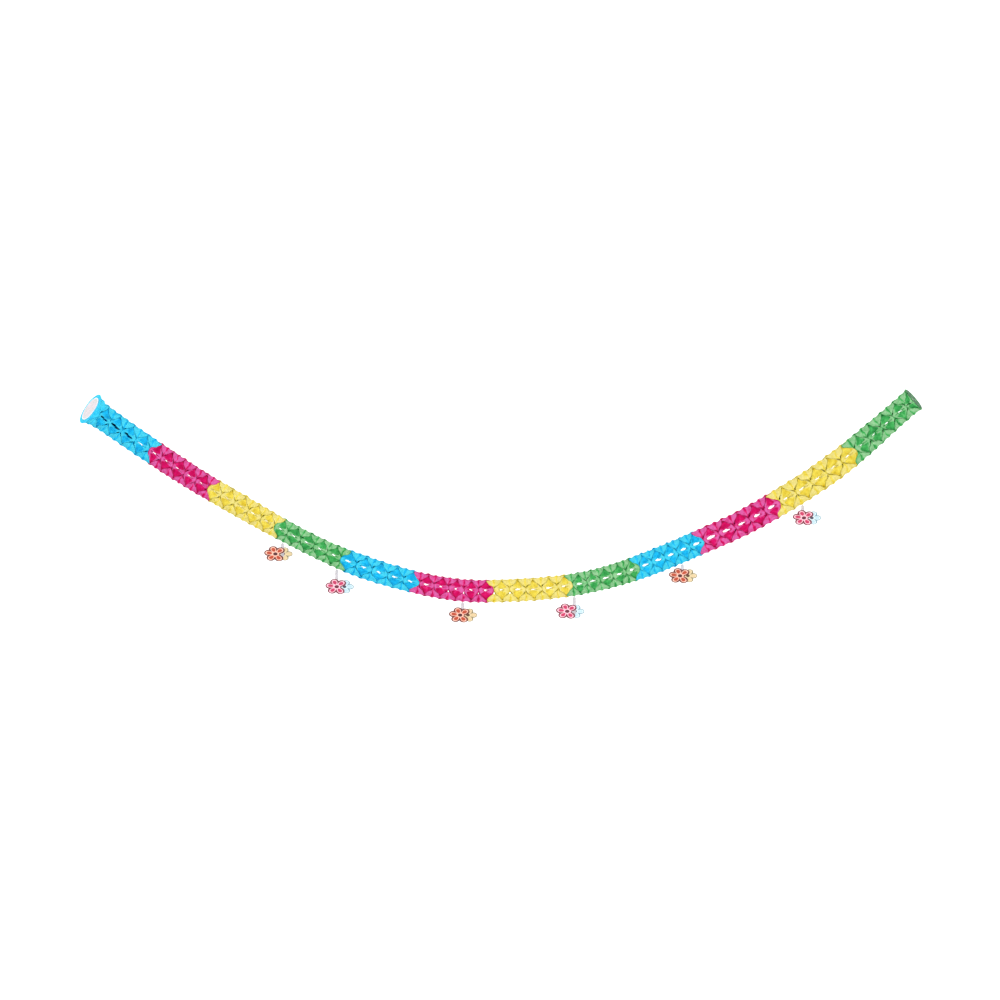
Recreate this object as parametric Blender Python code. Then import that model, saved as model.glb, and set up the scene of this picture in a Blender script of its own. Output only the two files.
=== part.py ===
"""Tissue-paper concertina garland, hung in one slack curve, with six flower charms.

Twelve colour blocks of ten or eleven thin sheets each. Every sheet is a ring of paper with
a small hole. Neighbouring sheets are glued rim to rim at four spots, and the next gap has its
four spots between those, so a pulled-out block stands open like a honeycomb. Where two
colours meet, two sheets lie face to face and wave together.
Units are metres, +Z is up, and the origin is the middle of the left end card's outer face.
"""

import math

import bmesh
import bpy
from mathutils import Matrix, Vector

# Hung shape: the centre line runs from the left card to the right card
SPAN = 3.57
SAG = 0.79
ROUTE_SHARES = (
    (0.0, 0.0),
    (0.07, 0.221),
    (0.146, 0.44),
    (0.291, 0.796),
    (0.40, 0.959),
    (0.483, 1.002),
    (0.619, 0.936),
    (0.765, 0.684),
    (0.8375, 0.512),
    (0.91, 0.295),
    (1.0, -0.053),
)
LEFT_TURN = math.radians(22)
LEFT_TURN_LENGTH = 0.30
RIGHT_TURN = math.radians(12)
RIGHT_TURN_LENGTH = 0.25
ROUTE_STEPS = 24
SLOPE_STEP = 0.001

# Tissue sheets
COLOURS = ("blue", "pink", "yellow", "green") * 3
STRETCH_SHARES = (
    0.1001,
    0.0729,
    0.0804,
    0.0774,
    0.0868,
    0.0789,
    0.0833,
    0.0719,
    0.0716,
    0.0892,
    0.0976,
    0.0898,
)
SHEET_COUNTS = (11, 11, 11, 11, 10, 11, 11, 11, 11, 11, 11, 11)
END_SLACK_SHARE = 0.5
END_SLACK_SHEETS = 4
SHEET_THICKNESS = 0.0008
TUBE_RADIUS = 0.052
GIRTH_SHARES = (
    (0.0, 1.09),
    (0.11, 1.06),
    (0.15, 1.02),
    (0.19, 1.02),
    (0.26, 0.93),
    (0.30, 0.93),
    (0.335, 1.02),
    (0.40, 0.96),
    (0.53, 0.995),
    (0.60, 0.97),
    (0.66, 1.08),
    (0.74, 1.10),
    (0.81, 1.16),
    (0.89, 1.18),
    (0.93, 1.12),
    (0.97, 1.04),
    (1.0, 1.02),
)
HOLE_RADIUS = 0.014
HOLE_WAVE_SHARE = 0.3
STATIONS = (
    (0, -1),
    (31, 0),
    (62, 1),
    (90, -1),
    (118, 1),
    (149, 0),
    (180, -1),
    (211, 0),
    (242, 1),
    (270, -1),
    (298, 1),
    (329, 0),
)
BOTTOM_LIFT = -1
BETWEEN_SHARE = 0.94
GLUE_HALF_ANGLE = math.radians(6)
GLUE_DEPTH = 0.0035
LEFT_COLLAR_RADIUS = 0.071
RIGHT_COLLAR_RADIUS = 0.058
COLLAR_FADE = 0.024

# End cards
LEFT_CARD_RADIUS = LEFT_COLLAR_RADIUS - 0.015
RIGHT_CARD_RADIUS = RIGHT_COLLAR_RADIUS - 0.006
CARD_THICKNESS = 0.0015
CARD_SIDES = 32

# Charms: the block and the number of sheets from its left end where each one hangs
SEAT_GAP = 0.0003
CHARM_SEATS = ((4, 2), (5, 0), (6, 7), (8, 0), (9, 7), (11, 3))
CHARM_DROPS = (0.048, 0.075, 0.056, 0.064, 0.050, 0.056)
FRONT_OFFSETS = (0.031, 0.0, 0.011, 0.031, 0.010, -0.006)
CHARM_STAGGER = 0.004
STAGGER_ORDER = (-1, 0, 1)
STRIP_WIDTH = 0.014
STRIP_TAB = 0.004
STRIP_SHOULDER = 0.006
STRIP_THICKNESS = 0.0004
STRIP_TAIL = 0.012
FLOWER_THICKNESS = 0.0008
POINTS_PER_PETAL = 6
OPEN_ARC = math.radians(115)
OPEN_NOTCH = 0.012
FRONT_PETAL_RADIUS = 0.0135
FRONT_PETAL_REACH = 0.0215
FRONT_STRETCH = 1.2
FRONT_HEADINGS = (45, 108, 167, 230, 300)
BACK_PETAL_RADIUS = 0.0118
BACK_PETAL_REACH = 0.0178
BACK_STRETCH = 1.38
BACK_HEADINGS = (0, 72, 144, 216, 288)
FLOWER_SPACING = 0.034

# Colour, roughness
FINISHES = {
    "blue": ((0.03, 0.47, 0.86), 0.85),
    "pink": ((0.72, 0.02, 0.24), 0.85),
    "yellow": ((0.93, 0.72, 0.08), 0.85),
    "green": ((0.06, 0.48, 0.14), 0.85),
    "card": ((0.86, 0.82, 0.84), 0.6),
    "strip": ((0.85, 0.87, 0.88), 0.2),
    "front_orange": ((0.80, 0.20, 0.12), 0.45),
    "front_pink": ((0.84, 0.13, 0.26), 0.45),
    "back_gold": ((0.90, 0.70, 0.35), 0.45),
    "back_ice": ((0.72, 0.86, 0.93), 0.45),
}


def clear_scene():
    for obj in list(bpy.data.objects):
        bpy.data.objects.remove(obj, do_unlink=True)


def material(name, finish):
    colour, roughness = FINISHES[finish]
    made = bpy.data.materials.new(name)
    made.use_nodes = True
    shader = made.node_tree.nodes["Principled BSDF"]
    shader.inputs["Base Color"].default_value = (*colour, 1.0)
    shader.inputs["Roughness"].default_value = roughness
    shader.inputs["Metallic"].default_value = 0.0
    return made


def add_object(name, mesh_builder, finish):
    """A named object from a filled bmesh, with its own material."""
    mesh = bpy.data.meshes.new(name)
    bmesh.ops.recalc_face_normals(mesh_builder, faces=mesh_builder.faces)
    mesh_builder.to_mesh(mesh)
    mesh_builder.free()
    mesh.materials.append(material(name, finish))
    obj = bpy.data.objects.new(name, mesh)
    bpy.context.scene.collection.objects.link(obj)
    return obj


class Route:
    """The centre line: a smooth curve through the route's own points, measured along its length."""

    def __init__(self):
        self.points = [Vector((x * SPAN, 0, -z * SAG)) for x, z in ROUTE_SHARES]
        self.lengths = [0.0]
        steps = ROUTE_STEPS * (len(self.points) - 1)
        self.samples = [self.at_step(n / ROUTE_STEPS) for n in range(steps + 1)]
        for a, b in zip(self.samples, self.samples[1:]):
            self.lengths.append(self.lengths[-1] + (b - a).length)
        self.total = self.lengths[-1]

    def slope(self, n):
        """The curve's direction at its n-th point, from that point's neighbours."""
        last = len(self.points) - 1
        before, after = max(n - 1, 0), min(n + 1, last)
        if n in (0, last):
            return self.points[after] - self.points[before]
        gap_before = (self.points[n] - self.points[before]).length
        gap_after = (self.points[after] - self.points[n]).length
        mean = (self.points[after] - self.points[before]) / (gap_before + gap_after)
        return mean * (gap_before + gap_after) / 2

    def at_step(self, step):
        """A point on the curve, where whole steps are the route's own points."""
        n = min(int(step), len(self.points) - 2)
        u = step - n
        a, b = self.points[n], self.points[n + 1]
        chord = (b - a).length
        leave = self.slope(n).normalized() * chord
        arrive = self.slope(n + 1).normalized() * chord
        return (
            a * (2 * u**3 - 3 * u**2 + 1)
            + leave * (u**3 - 2 * u**2 + u)
            + b * (3 * u**2 - 2 * u**3)
            + arrive * (u**3 - u**2)
        )

    def forward(self, s):
        """How far the line comes forward where an end turns towards the viewer."""
        near_left = max(LEFT_TURN_LENGTH - s, 0.0)
        near_right = max(RIGHT_TURN_LENGTH - (self.total - s), 0.0)
        left = math.tan(LEFT_TURN) * near_left**2 / (2 * LEFT_TURN_LENGTH)
        right = math.tan(RIGHT_TURN) * near_right**2 / (2 * RIGHT_TURN_LENGTH)
        return left + right

    def raw_point(self, s):
        inside = min(max(s, 0.0), self.total)
        low = 0
        high = len(self.lengths) - 1
        while high - low > 1:
            middle = (low + high) // 2
            if self.lengths[middle] <= inside:
                low = middle
            else:
                high = middle
        share = (inside - self.lengths[low]) / (self.lengths[high] - self.lengths[low])
        point = self.at_step((low + share) / ROUTE_STEPS)
        return point + Vector((0, -self.forward(inside), 0))

    def point(self, s):
        """A point on the line, with the middle of the left card's outer face at the origin."""
        return self.raw_point(s) - self.raw_point(0.0)

    def frame(self, s):
        """The point at s, with the line's direction, its front side and its upper side."""
        ahead = min(s + SLOPE_STEP, self.total)
        behind = max(s - SLOPE_STEP, 0.0)
        along = (self.point(ahead) - self.point(behind)).normalized()
        front = Vector((0, -1, 0))
        front = (front - along * front.dot(along)).normalized()
        return self.point(s), along, front, front.cross(along)

    def place(self, s, radius, angle):
        """A point at this radius round the line, at an angle counted from its front side upwards."""
        centre, _, front, up = self.frame(s)
        return centre + radius * (math.cos(angle) * front + math.sin(angle) * up)


class Sheets:
    """Where every sheet of the garland lies along the line, and how far its rim waves."""

    def __init__(self, route):
        self.route = route
        self.count = sum(SHEET_COUNTS)
        self.firsts = [sum(SHEET_COUNTS[:block]) for block in range(len(SHEET_COUNTS))]
        self.waves = []
        self.turned = []
        for block, sheets in enumerate(SHEET_COUNTS):
            start = self.turned[-1] if self.turned else 1
            self.turned += [start if n % 2 == 0 else -start for n in range(sheets)]
            self.waves += [STRETCH_SHARES[block] * self.pull(len(self.waves) + n) for n in range(sheets)]
        for first in self.firsts[1:]:
            self.waves[first - 1] = self.waves[first] = (self.waves[first - 1] + self.waves[first]) / 2
        self.waves[0] = 0.0
        self.waves[-1] = 0.0
        gaps = SEAT_GAP * (len(COLOURS) + 1)
        paper = SHEET_THICKNESS * self.count
        free = route.total - 2 * CARD_THICKNESS - gaps - paper
        shares = sum(self.waves[k - 1] + self.waves[k] for k in range(1, self.count) if k not in self.firsts)
        self.waves = [wave * free / shares for wave in self.waves]
        self.places = [CARD_THICKNESS + SEAT_GAP + SHEET_THICKNESS / 2]
        for k in range(1, self.count):
            apart = SEAT_GAP if k in self.firsts else self.waves[k - 1] + self.waves[k]
            self.places.append(self.places[-1] + apart + SHEET_THICKNESS)

    def pull(self, k):
        """How far the k-th sheet is pulled out, which is less where the garland's weight hangs from the left card."""
        return 1 - END_SLACK_SHARE * math.exp(-k / END_SLACK_SHEETS)

    def lowest_spot(self, k):
        """Where sheet k touches the sheet before it at the bottom of its rim, along the line."""
        middle = (self.places[k - 1] + self.places[k]) / 2
        if k in self.firsts:
            return middle + BOTTOM_LIFT * self.turned[k] * self.waves[k]
        return middle + (self.waves[k - 1] - self.waves[k]) / 2

    def rim_radius(self, s):
        """The tube's radius, which widens to a collar where the end sheets are stuck to the cards."""
        share = min(max(s / self.route.total, 0.0), 1.0)
        n = max(i for i, (start, _) in enumerate(GIRTH_SHARES[:-1]) if start <= share)
        (start, girth), (end, next_girth) = GIRTH_SHARES[n], GIRTH_SHARES[n + 1]
        radius = TUBE_RADIUS * (girth + (next_girth - girth) * (share - start) / (end - start))
        left = (LEFT_COLLAR_RADIUS - TUBE_RADIUS * GIRTH_SHARES[0][1]) * math.exp(-s / COLLAR_FADE)
        past = s - self.route.total
        right = (RIGHT_COLLAR_RADIUS - TUBE_RADIUS * GIRTH_SHARES[-1][1]) * math.exp(past / COLLAR_FADE)
        return radius + left + right


def sheet_corners(builder, sheets, k, below, last, origin):
    """One sheet's corners at each station. Where it is stuck to the sheet below it, both share them."""
    turned = sheets.turned[k]
    half = SHEET_THICKNESS / 2

    def corner(s, angle, radius):
        return builder.verts.new(sheets.route.place(s, radius, angle) - origin)

    def patch(s, angle):
        """A glue spot: two corners on the rim and one further in."""
        radius = sheets.rim_radius(s)
        ends = (angle - GLUE_HALF_ANGLE, angle + GLUE_HALF_ANGLE)
        return [corner(s, end, radius) for end in ends], corner(s, angle, radius - GLUE_DEPTH)

    corners = []
    for n, (degrees, lift) in enumerate(STATIONS):
        angle = math.radians(degrees)
        wave = sheets.waves[k] * turned * lift
        low, high = sheets.places[k] + wave - half, sheets.places[k] + wave + half
        share = 1 if lift else BETWEEN_SHARE
        made = {"low_glue": None, "high_glue": None}
        made["hole"] = corner(sheets.places[k] + wave * HOLE_WAVE_SHARE, angle, HOLE_RADIUS)
        if below and lift == -turned:
            made["low"], made["low_glue"] = below[n]["high"], below[n]["high_glue"]
        else:
            made["low"] = [corner(low, angle, sheets.rim_radius(low) * share)]
        if lift == turned and not last:
            made["high"], made["high_glue"] = patch(high, angle)
        else:
            made["high"] = [corner(high, angle, sheets.rim_radius(high) * share)]
        corners.append(made)
    return corners


def side_faces(builder, a, b, side):
    """One side of a sheet between two stations. The patch is left out, as the next sheet is stuck on it."""
    outline = [a["hole"], b["hole"], b[side + "_glue"], b[side][0], a[side][-1], a[side + "_glue"]]
    builder.faces.new([corner for corner in outline if corner])


def rim_faces(builder, a, b):
    """The rim's thickness between two stations, and the slanted corner at the first one's glue spot."""
    builder.faces.new((a["low"][-1], a["high"][-1], b["high"][0], b["low"][0]))
    if len(a["low"]) + len(a["high"]) > 2:
        builder.faces.new((*a["low"], *reversed(a["high"])))


def build_block(sheets, block, anchor):
    """One colour block: its sheets glued into one body."""
    builder = bmesh.new()
    below = None
    for n in range(SHEET_COUNTS[block]):
        last = n == SHEET_COUNTS[block] - 1
        corners = sheet_corners(builder, sheets, sheets.firsts[block] + n, below, last, anchor)
        for a, b in zip(corners, corners[1:] + corners[:1]):
            side_faces(builder, a, b, "high")
            side_faces(builder, a, b, "low")
            rim_faces(builder, a, b)
        below = corners
    name = f"tissue_{block + 1:02d}_{COLOURS[block]}"
    obj = add_object(name, builder, COLOURS[block])
    obj.location = anchor
    return obj


def build_card(name, route, face_at, inwards, radius):
    """A card disc whose outer face is at the end of the line."""
    builder = bmesh.new()
    bmesh.ops.create_cone(
        builder,
        cap_ends=True,
        segments=CARD_SIDES,
        radius1=radius,
        radius2=radius,
        depth=CARD_THICKNESS,
    )
    obj = add_object(name, builder, "card")
    centre, along, front, up = route.frame(face_at)
    turn = Matrix((front, up, front.cross(up))).transposed().to_4x4()
    middle = centre + along * inwards * CARD_THICKNESS / 2
    obj.matrix_world = Matrix.Translation(middle) @ turn
    obj.data.shade_smooth()
    obj.data.set_sharp_from_angle(angle=math.radians(30))
    return obj


def flower_outline(petal_radius, reach, headings, stretch):
    """A flower of round petals, each the arc of a circle between its two notches, stretched sideways."""
    turns = [math.radians(heading) for heading in headings]
    points = []
    for n, heading in enumerate(turns):
        ahead = (turns[(n + 1) % len(turns)] - heading) % (2 * math.pi) / 2
        behind = (heading - turns[n - 1]) % (2 * math.pi) / 2
        start, _ = petal_end(petal_radius, reach, behind)
        end, closed = petal_end(petal_radius, reach, ahead)
        for step in range(POINTS_PER_PETAL + (0 if closed else 1)):
            swing = -start + (start + end) * step / POINTS_PER_PETAL
            x = reach * math.cos(heading) + petal_radius * math.cos(heading + swing)
            z = reach * math.sin(heading) + petal_radius * math.sin(heading + swing)
            points.append((x * stretch, z))
        if not closed:
            notch = heading + ahead
            points.append((OPEN_NOTCH * math.cos(notch) * stretch, OPEN_NOTCH * math.sin(notch)))
    return points


def petal_end(petal_radius, reach, half_gap):
    """How far a petal's arc swings round to its notch, and whether it meets the next petal there."""
    side = reach * math.sin(half_gap)
    if side >= petal_radius:
        return OPEN_ARC, False
    notch = reach * math.cos(half_gap) + math.sqrt(petal_radius**2 - side**2)
    return math.atan2(notch * math.sin(half_gap), notch * math.cos(half_gap) - reach), True


def extruded(name, outline, front_y, thickness, finish):
    """An outline in the XZ plane, given this thickness behind its front face."""
    builder = bmesh.new()
    face = builder.faces.new([builder.verts.new((x, front_y, z)) for x, z in outline])
    grown = bmesh.ops.extrude_face_region(builder, geom=[face])
    moved = [item for item in grown["geom"] if isinstance(item, bmesh.types.BMVert)]
    bmesh.ops.translate(builder, verts=moved, vec=(0, thickness, 0))
    return add_object(name, builder, finish)


def charm_pivot(sheets, number):
    """The strip's top edge, just under the lowest glue spot, clear of the sheets beside it on a slope."""
    block, sheet = CHARM_SEATS[number]
    seat = sheets.lowest_spot(sheets.firsts[block - 1] + sheet)
    centre, along, _, up = sheets.route.frame(seat)
    lowest = centre - up * sheets.rim_radius(seat)
    slope = abs(along.z / along.x)
    low = lowest.z - STRIP_TAB / 2 * slope - SEAT_GAP
    order = STAGGER_ORDER[number % len(STAGGER_ORDER)]
    return Vector((lowest.x, lowest.y + CHARM_STAGGER * order, low))


def build_charm(sheets, number):
    """A strip and two flower cards, hung on an empty that stands on the swing's axis."""
    pivot = bpy.data.objects.new(f"charm_{number + 1}_pivot", None)
    pivot.location = charm_pivot(sheets, number)
    bpy.context.scene.collection.objects.link(pivot)
    drop = CHARM_DROPS[number]
    tab, half = STRIP_TAB / 2, STRIP_WIDTH / 2
    length = drop + STRIP_TAIL
    left_side = ((-tab, 0), (-half, -STRIP_SHOULDER), (-half, -length))
    strip_outline = left_side + tuple((-x, z) for x, z in reversed(left_side))
    strip = extruded(
        f"strip_{number + 1}", strip_outline, -STRIP_THICKNESS / 2, STRIP_THICKNESS, "strip"
    )
    warm = number % 2 == 0
    offset = FRONT_OFFSETS[number]
    petals = flower_outline(FRONT_PETAL_RADIUS, FRONT_PETAL_REACH, FRONT_HEADINGS, FRONT_STRETCH)
    front = extruded(
        f"flower_front_{number + 1}",
        [(x - offset, z - drop) for x, z in petals],
        -STRIP_THICKNESS / 2 - SEAT_GAP - FLOWER_THICKNESS,
        FLOWER_THICKNESS,
        "front_orange" if warm else "front_pink",
    )
    petals = flower_outline(BACK_PETAL_RADIUS, BACK_PETAL_REACH, BACK_HEADINGS, BACK_STRETCH)
    back = extruded(
        f"flower_back_{number + 1}",
        [(x - offset + FLOWER_SPACING, z - drop) for x, z in petals],
        STRIP_THICKNESS / 2 + SEAT_GAP,
        FLOWER_THICKNESS,
        "back_gold" if warm else "back_ice",
    )
    for piece in (strip, front, back):
        piece.parent = pivot


def block_anchor(sheets, block):
    """The point of a block that stays put on its own body while its sheets close up towards it."""
    if block == 0:
        return sheets.route.point(0.0)
    if block == len(COLOURS) - 1:
        return sheets.route.point(sheets.route.total)
    seats = {seat_block - 1: sheet for seat_block, sheet in CHARM_SEATS}
    sheet = seats.get(block, SHEET_COUNTS[block] // 2)
    return sheets.route.point(sheets.lowest_spot(sheets.firsts[block] + sheet))


def main():
    clear_scene()
    route = Route()
    sheets = Sheets(route)
    build_card("end_card_left", route, 0.0, 1, LEFT_CARD_RADIUS)
    build_card("end_card_right", route, route.total, -1, RIGHT_CARD_RADIUS)
    for block in range(len(COLOURS)):
        build_block(sheets, block, block_anchor(sheets, block))
    for number in range(len(CHARM_SEATS)):
        build_charm(sheets, number)
    bpy.context.view_layer.update()


main()
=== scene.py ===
"""Tissue-paper concertina garland with six flower charms: pieces, materials, light and camera."""

import math
import random

import bmesh
import bpy
import numpy as np
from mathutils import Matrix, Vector


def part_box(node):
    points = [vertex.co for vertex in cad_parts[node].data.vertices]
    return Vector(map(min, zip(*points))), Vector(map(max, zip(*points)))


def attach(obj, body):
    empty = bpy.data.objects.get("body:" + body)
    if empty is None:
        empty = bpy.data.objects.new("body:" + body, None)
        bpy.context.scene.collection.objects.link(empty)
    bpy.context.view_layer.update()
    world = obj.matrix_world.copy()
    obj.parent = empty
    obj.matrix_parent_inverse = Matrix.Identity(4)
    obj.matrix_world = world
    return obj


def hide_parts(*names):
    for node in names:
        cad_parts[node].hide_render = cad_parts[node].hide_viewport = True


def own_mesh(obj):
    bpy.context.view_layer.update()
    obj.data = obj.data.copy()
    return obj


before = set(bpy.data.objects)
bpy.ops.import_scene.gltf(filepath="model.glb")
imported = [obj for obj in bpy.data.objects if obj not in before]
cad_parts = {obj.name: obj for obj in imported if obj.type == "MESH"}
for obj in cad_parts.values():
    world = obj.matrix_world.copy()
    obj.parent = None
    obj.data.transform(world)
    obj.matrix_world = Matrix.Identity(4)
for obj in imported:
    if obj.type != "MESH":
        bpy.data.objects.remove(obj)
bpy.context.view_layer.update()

# The hung line, with the same numbers as the CAD
SPAN = 3.57
SAG = 0.79
ROUTE_SHARES = (
    (0.0, 0.0),
    (0.07, 0.221),
    (0.146, 0.44),
    (0.291, 0.796),
    (0.40, 0.959),
    (0.483, 1.002),
    (0.619, 0.936),
    (0.765, 0.684),
    (0.8375, 0.512),
    (0.91, 0.295),
    (1.0, -0.053),
)
LEFT_TURN = math.radians(22)
LEFT_TURN_LENGTH = 0.30
RIGHT_TURN = math.radians(12)
RIGHT_TURN_LENGTH = 0.25
ROUTE_STEPS = 24
SLOPE_STEP = 0.001

# The sheets' places, with the same numbers as the CAD
COLOURS = ("blue", "pink", "yellow", "green") * 3
STRETCH_SHARES = (
    0.1001,
    0.0729,
    0.0804,
    0.0774,
    0.0868,
    0.0789,
    0.0833,
    0.0719,
    0.0716,
    0.0892,
    0.0976,
    0.0898,
)
SHEET_COUNTS = (11, 11, 11, 11, 10, 11, 11, 11, 11, 11, 11, 11)
END_SLACK_SHARE = 0.5
END_SLACK_SHEETS = 4
SHEET_THICKNESS = 0.0008
TUBE_RADIUS = 0.052
GIRTH_SHARES = (
    (0.0, 1.09),
    (0.11, 1.06),
    (0.15, 1.02),
    (0.19, 1.02),
    (0.26, 0.93),
    (0.30, 0.93),
    (0.335, 1.02),
    (0.40, 0.96),
    (0.53, 0.995),
    (0.60, 0.97),
    (0.66, 1.08),
    (0.74, 1.10),
    (0.81, 1.16),
    (0.89, 1.18),
    (0.93, 1.12),
    (0.97, 1.04),
    (1.0, 1.02),
)
STATIONS = (
    (0, -1),
    (31, 0),
    (62, 1),
    (90, -1),
    (118, 1),
    (149, 0),
    (180, -1),
    (211, 0),
    (242, 1),
    (270, -1),
    (298, 1),
    (329, 0),
)
BOTTOM_LIFT = -1
LEFT_COLLAR_RADIUS = 0.071
RIGHT_COLLAR_RADIUS = 0.058
COLLAR_FADE = 0.024
LEFT_CARD_MARGIN = 0.015
LEFT_CARD_RADIUS = LEFT_COLLAR_RADIUS - LEFT_CARD_MARGIN
CARD_THICKNESS = 0.0015
SEAT_GAP = 0.0003
CHARM_SEATS = ((4, 2), (5, 0), (6, 7), (8, 0), (9, 7), (11, 3))

# The paper's own spread at the left card, past the CAD's collar
LEFT_SPREAD = 0.005

# How far in from its card each end block's anchor lies
LEFT_END_ROOM = 0.017
RIGHT_END_ROOM = 0.010

# Angles round a sheet, in degrees from the front upwards: close together at its glue spots and slits
FRONT, TOP, BACK, BOTTOM = 0, 90, 180, 270
FLAT_DEGREES = 5
NEAR_DEGREES = 9
NEAR_STEP = 1.5
SLIT_DEGREES = 8.25
SLIT_STEP = 0.75
FAR_STEP = 6

# A sheet of paper: its rings from the hole to the rim, each with its painted shade, deep inside the tube
# and paler at the rim; the end sheets are painted pale all over
PAPER_HOLE = 0.012
DISC_RINGS = ((0.0, 1.25), (0.18, 1.16), (0.45, 1.025), (0.75, 0.875), (1.0, 0.35))
END_SHEET_SHADE = 0.1
RIM_INSET = 0.0006
GLUED_GAP = 0.0003
DIP_SHARE = 0.10
SOFT_WAVE = 0.8

# The flaps that lean from each rim over the gap beside it
FLAP_ROWS = 7
SHORTEST_FLAP = 0.0004
INNER_INSET = 0.0013
OUTER_INSET = 0.0004
INSET_RAMP = 3
EDGE_LIFT = 0.0010
WIDE_LAP_SHARE = 0.75
SMALL_LAP_SHARE = 0.12
LAP_RANGE = (0.8, 1.1)
LAP_RAMP = 8

# Painted shade on the flaps, 0 pale and 1 deep: deeper where layers lie over each other, and painted
# shade at creases, gathers and edges
FEATHER = 0.005
UNDER_SHADE = 0.5
CREASE = 0.003
CREASE_SHADE = 0.2
GATHER_SHADE = 0.34
SLIT_EDGE_SHADE = 0.45
FREE_EDGE_SHADE = 0.15
DEEPEST_SHADE = 1.4

# Slits between two flaps: half length in waves of the paper, and half height in degrees
FRONT_SLIT = (1.1, 7.5)
SIDE_SLIT = (0.8, 4.0)
SLIT_HEIGHTS = (0.28, 0.30, 0.25, 0.48, 0.55, 0.58, 0.52, 0.74, 0.82, 0.74, 0.26, 0.30)
SLIT_LENGTHS = (1.1, 1.1, 1.1, 1.0, 0.85, 0.8, 0.8, 0.92, 0.95, 0.98, 1.0, 1.0)
SLIT_WAVE = 0.016
SLIT_TILT = 1.8
SLIT_LENGTH_RANGE = (0.85, 1.12)
SLIT_HEIGHT_RANGE = (0.8, 1.2)
SLIT_SHIFT_RANGE = (-1, 1)
SLIT_TILT_RANGE = (0.5, 1.5)

# The left end: flaps beside the card with a quarter of their painted shade, a painted bright band, then
# slits in front of a back painted dark as painted shade inside the tube
COLLAR_GAPS = 2
COLLAR_SHADE_SHARE = 0.25
DARK_END = 0.20
DARK_HEIGHT = 0.55
DARK_BACK_DEGREES = 6

# Where the garland's middle shows a second, lower row of slits
SECOND_ROW = (1.70, 2.03)
SECOND_ROW_FADE = 0.08
SECOND_ROW_SLIT = (0.6, 9.0)
SHORT_FRONT_SLIT = (0.7, 8.0)
SECOND_ROW_DEGREES = 17
RAISED_DEGREES = 6

# Soft irregularity of the hung paper, which is still at the bottom, where the strips hang
SEED = 11
SAMPLE_STEP = 0.001
RIPPLES = 14
RIPPLE_LENGTHS = (0.03, 0.11)
RIPPLE_TURNS = 9
RIPPLE_OUT = 0.0011
RIPPLE_ALONG = 0.0022
STILL_DEGREES = 14

# Flower cards, with the same numbers as the CAD: petal radius, reach, headings and stretch
POINTS_PER_PETAL = 6
OPEN_ARC = math.radians(115)
OPEN_NOTCH = 0.012
FRONT_FLOWER = (0.0135, 0.0215, (45, 108, 167, 230, 300), 1.2)
BACK_FLOWER = (0.0118, 0.0178, (0, 72, 144, 216, 288), 1.38)

# Their finer outlines and prints: shares of the flower's tip, or of its petal radius for widths
FINE_POINTS_PER_PETAL = 16
MARK_POINTS = 24
PRINT_LIFT = 0.00006
FRONT_SPREAD = 1.18
BACK_SPREAD = 1.0
FRONT_LINE_SHARE = 0.26
BACK_LINE_SHARE = 0.19
INNER_WIDTH = 0.62
EYE_SHARE = 0.32
PETAL_START_SHARE = 0.14
HEART_START_SHARE = 0.28
HEART_LENGTH_SHARE = 0.5
HEART_WIDTH_SHARE = 1.1
SPOT_SHARE = 0.2
LINE_SLOT, PETAL_SLOT, HEART_SLOT, SPOT_SLOT, BACK_SLOT = range(5)

# Tissue colours where the layers are many and in painted shade, few, and single
TISSUE = {
    "blue": ((0.0, 0.23, 0.53), (0.012, 0.58, 0.90), (0.083, 0.79, 0.97)),
    "pink": ((0.40, 0.0, 0.043), (0.75, 0.004, 0.162), (0.864, 0.157, 0.51)),
    "yellow": ((0.63, 0.435, 0.0), (0.87, 0.75, 0.10), (0.95, 0.86, 0.30)),
    "green": ((0.0, 0.148, 0.024), (0.074, 0.51, 0.127), (0.376, 0.729, 0.378)),
}
FEW_LAYERS_AND_SHADE = 0.45
MANY_LAYERS_AND_SHADE = 1.0
DEEPEST_SHADE_TINT = 0.25
CLOUD_DEPTHS = (-0.2, 0.3)
THROUGH_SHARE = 0.4
TISSUE_SPECULAR = 0.1

# How rough each surface is
TISSUE_ROUGHNESS = 0.8
CARD_ROUGHNESS = 0.6
COVER_ROUGHNESS = 0.7
INK_ROUGHNESS = 0.42
STRIP_ROUGHNESS = 0.18
FLOOR_ROUGHNESS = 0.9

# Noise of each material: scale, detail and roughness, and the range that most of it lies in
FIBRE = (900, 4, 0.55)
CRINKLE = (150, 5, 0.62)
CLOUD = (55, 4, 0.55)
MOTTLE = (45, 4, 0.6)
CARD_FIBRE = (1200, 4, 0.55)
COVER_PATCH = (60, 5, 0.65)
INK_PATCH = (160, 4, 0.55)
INK_GRAIN = (1500, 3, 0.55)
STREAK = (220, 3, 0.55)
NOISE_LOW = 0.3
NOISE_HIGH = 0.7

# Where a ramp's new stop lies until it gets its own place
NEW_STOP = 0.5

# Bumps: strength and height
CRINKLE_BUMP = (0.45, 0.003)
FIBRE_BUMP = (0.25, 0.0006)
CARD_BUMP = (0.2, 0.0004)
COVER_BUMP = (0.3, 0.0006)
INK_BUMP = (0.15, 0.0002)

# Card colours: the white card's mottle and band, and the card covered with stuck-down tissue, darkened
# with painted shade
MOTTLE_STOPS = (
    (0.32, (0.46, 0.50, 0.45)),
    (0.46, (0.54, 0.52, 0.53)),
    (0.58, (0.58, 0.52, 0.55)),
    (0.72, (0.72, 0.56, 0.66)),
)
BAND_TINT = (0.74, 0.78, 0.80, 1.0)
BAND_SHARES = (0.92, 0.94)
COVERED_SHADED_STOPS = (
    (0.30, (0.0, 0.03, 0.008)),
    (0.52, (0.01, 0.12, 0.03)),
    (0.62, (0.06, 0.30, 0.09)),
    (0.70, (0.62, 0.50, 0.48)),
)
STRIP_TINTS = ((0.42, 0.39, 0.42), (0.60, 0.56, 0.60))
STRIP_ALPHA = 0.7

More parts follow.
